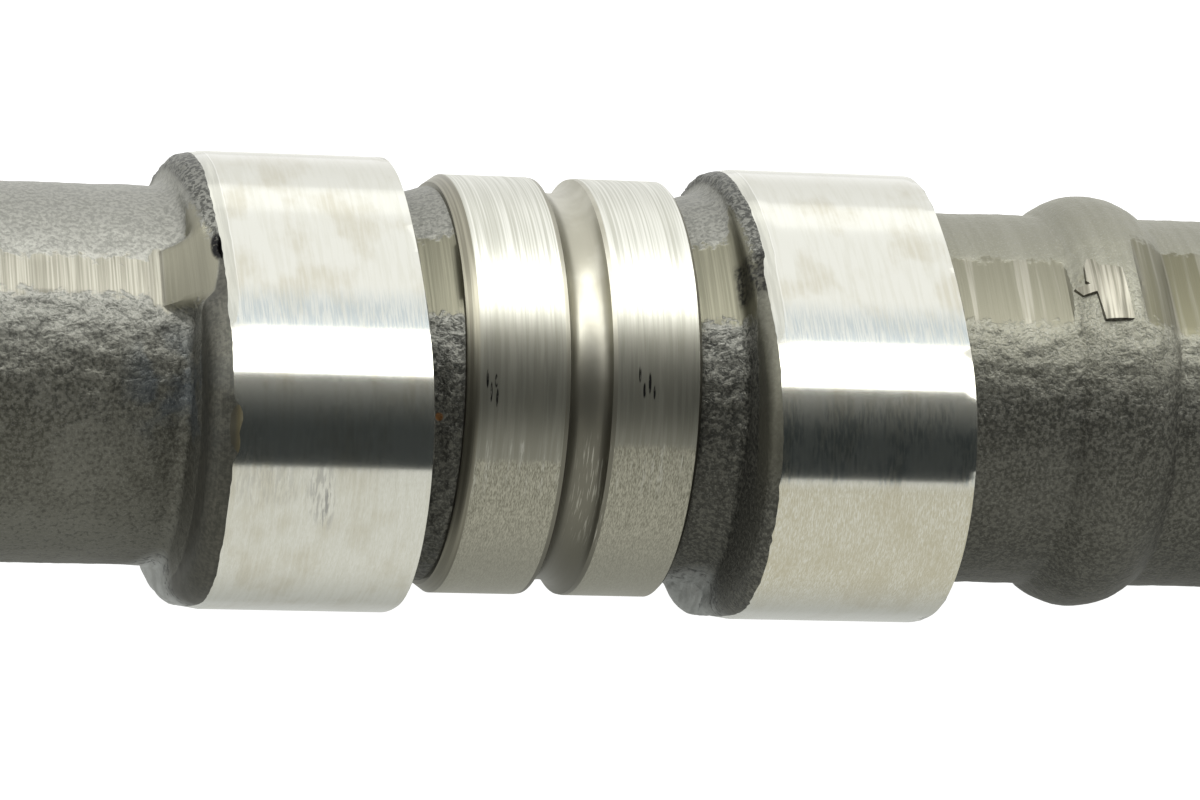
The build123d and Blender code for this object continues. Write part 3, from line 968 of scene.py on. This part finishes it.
def ground_track():
    """Chilled iron ground smooth, with fine lines and patches; painted reflections: blue-black streaks in the
    band where the dark room reflects and a bluish fringe above the strip light's; and a painted highlight on the
    bevel's rim.
    """
    paint = Paint("ground_track")
    angle = paint.angle
    lines = paint.noise(9000, 120, 2)
    streaks = paint.noise(3200, 230, 3, shift=2)
    patches = paint.noise(300, 200, 5, shift=5)
    grain = paint.noise(11000, 1300, 3, shift=7)
    fine_grain = paint.noise(14000, 2600, 2, shift=12)
    fine_streaks = paint.noise(5200, 900, 3, shift=9)
    hairs = paint.noise(8500, 500, 3, shift=13)
    low = angle.step(7, 4) * angle.step(-32, -14)
    second = paint.u.step(-2, 2)
    grainy = fine_grain.step(0.6, 0.42) * 0.6 + grain.step(0.58, 0.44) * 0.4
    dark_band = angle.step(5, 7) * angle.step(24, 17)
    # Painted reflection: blue-black streaks only in the band where the dark room reflects
    blue = fine_streaks.step(0.4, 0.62) * patches.step(0.4, 0.55) * dark_band * (second * 0.35 + 0.12)
    # Painted reflection: bluish fringe just above the reflection of the strip light
    reflection_fringe = angle.step(33.5, 35) * angle.step(46, 38) * (hairs.step(0.4, 0.6) * 0.5 + 0.4)
    smudge = paint.spot(-20.8, 1.5, 0.9, 5.5, 0.8) + paint.spot(-20.2, -1.5, 0.5, 4.5, 0.9)
    smudge = smudge + paint.spot(-24.6, 2.5, 2.6, 3.5, 0.9) * 0.5
    bevel = paint.attribute("edge_bevel")
    # Painted highlight: a thin light line along the upper part of the bevel's rim
    rim_highlight = bevel.step(0.02, 0.07) * bevel.step(0.16, 0.1) * angle.step(30, 50)
    colour = paint.mix(streaks.step(0.42, 0.68) * 0.35, (0.54, 0.54, 0.49), (0.46, 0.455, 0.39))
    colour = paint.layered(colour, [
        (patches.step(0.46, 0.66) * (streaks.step(0.3, 0.6) * 0.35 + 0.3), (0.42, 0.4, 0.32)),
        (low * second * (grainy * 0.6 + 0.2), (0.36, 0.33, 0.22)),
        (low * grainy * 0.3, (0.38, 0.37, 0.31)),
        (blue, (0.16, 0.2, 0.21)),
        (reflection_fringe * 0.85, (0.32, 0.36, 0.37)),
        (angle.step(80, 94) * 0.45, (0.38, 0.375, 0.315)),
        (smudge * fine_streaks.step(0.42, 0.62) * 0.6, (0.27, 0.27, 0.25)),
        (bevel.step(0.1, 0.16) * 0.8, paint.mix(streaks.step(0.4, 0.65), *BEVEL_GREY)),
        (rim_highlight * 0.5, (0.64, 0.64, 0.6))])
    roughness = 0.07 + streaks * 0.06 + patches * 0.05 + low * 0.06
    return paint.finish(colour, roughness, 1, lines * 0.5 + grain * 0.3, 0.003 * MM)


# Colours of the journals
LAND_GREY = (0.37, 0.37, 0.32), (0.53, 0.53, 0.48)
# Painted shade low on the viewer's side, streaked
LOW_SHADE_GREY = (0.18, 0.177, 0.145), (0.21, 0.207, 0.172)
# Painted reflection of the floor, broken by fine grain
FLOOR_REFLECTION_GREY = (0.15, 0.145, 0.112), (0.315, 0.307, 0.248)
# Black dashes on the first journal: place, angle, half width, half height
BLACK_MARKS = [(-7.75, 24.5, 0.09, 2.4), (-7.45, 21, 0.08, 2.6), (-7.1, 24, 0.11, 1.8), (-7, 19.5, 0.09, 2.4),
               (3.55, 26.8, 0.09, 2.2), (3.9, 22.5, 0.1, 2), (4.3, 24.5, 0.1, 2.8), (4.65, 22, 0.08, 1.8)]


def ground_land():
    """Journal, ground coarser than the cams, with painted shade low on the viewer's side and, lower still, a
    grainy painted reflection of the floor that glints in the hair lines.
    """
    paint = Paint("ground_land")
    angle = paint.angle
    lines = paint.noise(6000, 60, 2)
    broad = paint.noise(1400, 60, 2, shift=4)
    grain = paint.noise(9000, 1300, 3, shift=7)
    streaks = paint.noise(3500, 160, 3, shift=8)
    fine_grain = paint.noise(14000, 3600, 2, shift=12)
    # Painted reflection of the floor low on the journal, grainy, and lighter further down
    floor_reflection = paint.mix(fine_grain.step(0.36, 0.64) * 0.7 + grain.step(0.4, 0.6) * 0.3, *FLOOR_REFLECTION_GREY)
    floor_reflection = paint.mix(angle.step(-8, -45) * 0.6, floor_reflection, (0.36, 0.35, 0.295))
    floor_reflection_from = 3 + paint.u.step(-1, 1) * 5 + (grain - 0.5) * 3
    plain = paint.mix(streaks.step(0.4, 0.6), *LOW_SHADE_GREY)
    low_side_shade_and_reflection = paint.mix((floor_reflection_from - angle).step(-0.5, 2), plain, floor_reflection)
    # Painted glints of the floor's edge in the hair lines
    hair_line_glints = streaks.step(0.56, 0.66) * grain.step(0.42, 0.56) * angle.step(9, 7)
    low_side_shade_and_reflection = paint.mix(hair_line_glints * angle.step(-12, 2) * 0.5, low_side_shade_and_reflection, (0.4, 0.4, 0.36))
    # Painted shade below the highlight, on the viewer's side
    low_shade = angle.step(58, 34) * angle.step(-150, -110)
    colour = paint.mix(low_shade, paint.mix(lines.step(0.35, 0.65), *LAND_GREY), low_side_shade_and_reflection)
    marks = 0
    for mark in BLACK_MARKS:
        marks = paint.spot(*mark, 0.4) + marks
    colour = paint.mix(marks * grain.step(0.35, 0.5), colour, (0.012, 0.012, 0.012))
    roughness = 0.33 + broad * 0.08 + low_shade * 0.02
    return paint.finish(colour, roughness, 1, lines * 0.5 + broad * 0.5, 0.008 * MM)


# Colours of the turned faces
TURNED_GREY = (0.3, 0.29, 0.235), (0.38, 0.37, 0.31)
CHAMFER_GREY = (0.17, 0.162, 0.125), (0.24, 0.23, 0.18)


def turned_steel():
    """Turned faces, chamfers and oil grooves, with painted shade on the front wall of the first groove and low on
    the viewer's side.
    """
    paint = Paint("turned_steel")
    angle, u = paint.angle, paint.u
    lines = paint.noise(5200, 70, 2)
    cloud = paint.noise(300, detail=3)
    hairs = paint.noise(9500, 500, 3, shift=5).step(0.54, 0.66)
    groove = u.step(-2, -1.8) * u.step(2, 1.8) * angle.step(12, 4)
    chamfer = u.step(-9.4, -9.1) * u.step(-8, -8.3)
    # Painted shade low on the viewer's side
    low_shade = angle.step(50, 8) * angle.step(-150, -110)
    streaks = groove * hairs * u.step(-0.9, 0) * angle.step(-34, -16)
    colour = paint.mix(cloud.step(0.35, 0.7), *TURNED_GREY)
    colour = paint.layered(colour, [
        (groove * hairs * u.step(-0.7, 0) * 0.25, (0.6, 0.6, 0.55)),
        # Painted shade on the front wall of the groove
        (u.step(-2, -1.8) * u.step(-0.5, -1) * 0.5, (0.12, 0.116, 0.088)),
        (chamfer, paint.mix(lines.step(0.4, 0.6), *CHAMFER_GREY)),
        (low_shade * (1 - chamfer * 0.5) * (1 - streaks * 0.45), (0.13, 0.125, 0.1))])
    return paint.finish(colour, 0.34 + lines * 0.08, 1, lines, 0.009 * MM)


FLASH_GREY, FLASH_SHADE = ((0.12, 0.115, 0.088), (0.26, 0.25, 0.205)), (0.07, 0.067, 0.05)


def dressed_flash():
    """Ground top of the flash, with grinding lines across the bead."""
    paint = Paint("dressed_flash")
    lines = paint.noise(3200, 110, 2, shift=1)
    broad = paint.noise(1300, 60, 2, shift=6)
    colour = paint.mix(lines.step(0.36, 0.66), *FLASH_GREY)
    colour = paint.mix(broad.step(0.55, 0.62) * 0.6, colour, FLASH_SHADE)
    return paint.finish(colour, 0.4 + broad * 0.1, 0.9, lines * 0.5 + broad * 0.5, 0.03 * MM)


# Materials in the order of the zones
FINISHES = (cast_skin, ground_track, ground_land, turned_steel)


# Floor, lights and camera

FLOOR_HALF = 30
FLOOR_GREY = (0.15, 0.15, 0.15)
CARD_HALF_LENGTH, CARD_Y = 4, 1.2
# Far side of the room in front: dark, a little lighter towards the ceiling
ROOM_TOP_Z = 2.08
ROOM_DARK, ROOM_CEILING = (0.06, 0.067, 0.068), (0.42, 0.42, 0.4)
# Paper under the shaft, shaded next to it
PAPER_Z = FLOOR_Z + 0.2 * MM
PAPER_SHADE, PAPER_WHITE = (0.62, 0.63, 0.6), (1.12, 1.12, 1.08)
# Soft lights along the shaft: name, elevation on the viewer's side, distance, size, radiance
STRIP_LIGHTS = [("strip_light", radians(73.5), 0.8, (3, 0.4), 5.2),
                ("back_light", radians(131), 0.9, (3, 0.2), 0.35),
                ("ceiling_glow", radians(110), 0.9, (3, 0.8), 0.16)]
LIGHTS_X = 0.25
WORLD_STRENGTH = 1.4
# Camera: turn from +Y towards +X, tilt down and roll; lens and sensor in mm
CAMERA_PLACE = Vector((-48.932, -435.908, 184.045)) * MM
CAMERA_TURN, CAMERA_TILT, CAMERA_ROLL = radians(15.335), radians(22.2623), radians(7.4894)
CAMERA_LENS, CAMERA_SENSOR = 196.4, 36


def in_scene(name, data):
    """New object in the scene."""
    obj = bpy.data.objects.new(name, data)
    bpy.context.scene.collection.objects.link(obj)
    return obj


def card(name, corners, material):
    """Flat card of one face, from two rows of two corners."""
    mesh = bpy.data.meshes.new(name)
    mesh.from_pydata(corners, [], [(0, 1, 3, 2)])
    mesh.materials.append(material)
    obj = in_scene(name, mesh)
    return obj


def glowing(name, colour):
    """Matt material that also gives off light of its own."""
    paint = Paint(name)
    paint.shade({"Base Color": colour, "Roughness": 0.9, "Specular IOR Level": 0,
                 "Emission Color": (1, 1, 1), "Emission Strength": 1})
    return paint


def reflected_card(name, near_edge, far_edge, paint, share, dark, light):
    """Long card between two edges (y, z) that shows in reflections alone, glowing from dark to light."""
    material = paint.shade({"Emission Color": paint.mix(share, dark, light)})
    ends = (-CARD_HALF_LENGTH, CARD_HALF_LENGTH)
    obj = card(name, [(x, *edge) for edge in (near_edge, far_edge) for x in ends], material)
    for seen in ("visible_camera", "visible_diffuse", "visible_shadow", "visible_transmission"):
        setattr(obj, seen, False)


def strip_light(name, elevation, distance, size, radiance):
    """Soft rectangular light along the shaft."""
    data = bpy.data.lights.new(name, "AREA")
    data.shape = "RECTANGLE"
    data.size, data.size_y = size
    data.energy = radiance * pi * size[0] * size[1]
    obj = in_scene(name, data)
    place = Vector((LIGHTS_X, -distance * cos(elevation), distance * sin(elevation)))
    obj.location = place
    obj.rotation_euler = (place - Vector((LIGHTS_X, 0, 0))).to_track_quat("Z", "Y").to_euler()
    obj.visible_camera = False


def studio():
    """White floor, lights, and the room and the paper that show in reflections."""
    card("floor", [(x, y, FLOOR_Z) for y in (-FLOOR_HALF, FLOOR_HALF) for x in (-FLOOR_HALF, FLOOR_HALF)],
         glowing("floor_white", FLOOR_GREY).material)
    room = glowing("room_dark", (0, 0, 0))
    reflected_card("dark_flag", (-CARD_Y, FLOOR_Z), (-CARD_Y, ROOM_TOP_Z), room, room.z.step(0.5, 2.1),
                   ROOM_DARK, ROOM_CEILING)
    paper = glowing("paper_shade", (0, 0, 0))
    reflected_card("paper_reflection", (-CARD_Y, PAPER_Z), (CARD_Y, PAPER_Z), paper,
                   abs(paper.y).step(9 * MM, 26 * MM), PAPER_SHADE, PAPER_WHITE)
    for light in STRIP_LIGHTS:
        strip_light(*light)
    world = bpy.data.worlds.new("studio_world")
    bpy.context.scene.world = world
    world.use_nodes = True
    back = world.node_tree.nodes["Background"]
    back.inputs["Color"].default_value = (1, 1, 1, 1)
    back.inputs["Strength"].default_value = WORLD_STRENGTH


def camera():
    """Camera on the front side, looking down at the first pair of lobes."""
    data = bpy.data.cameras.new("camera")
    data.lens = CAMERA_LENS
    data.sensor_width = CAMERA_SENSOR
    data.clip_start, data.clip_end = 0.01, 100
    obj = in_scene("camera", data)
    turn = Matrix.Rotation(-CAMERA_TURN, 4, "Z")
    tilt = Matrix.Rotation(pi / 2 - CAMERA_TILT, 4, "X")
    obj.matrix_world = Matrix.Translation(CAMERA_PLACE) @ turn @ tilt @ Matrix.Rotation(CAMERA_ROLL, 4, "Z")
    bpy.context.scene.camera = obj


bpy.context.scene.view_settings.view_transform = "Standard"
camera()
studio()

skin, rings = shaped_skin()
drill_dowel_hole(skin)
skin.name = skin.data.name = "camshaft_body"
only(skin)
bpy.ops.object.shade_smooth_by_angle(angle=SMOOTH_ANGLE)
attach(skin, "root")
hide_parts("camshaft")

flake = flash_flake(rings)
flake.data.materials.append(dressed_flash())
only(flake)
bpy.ops.object.shade_smooth_by_angle(angle=SMOOTH_ANGLE)
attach(flake, "root")
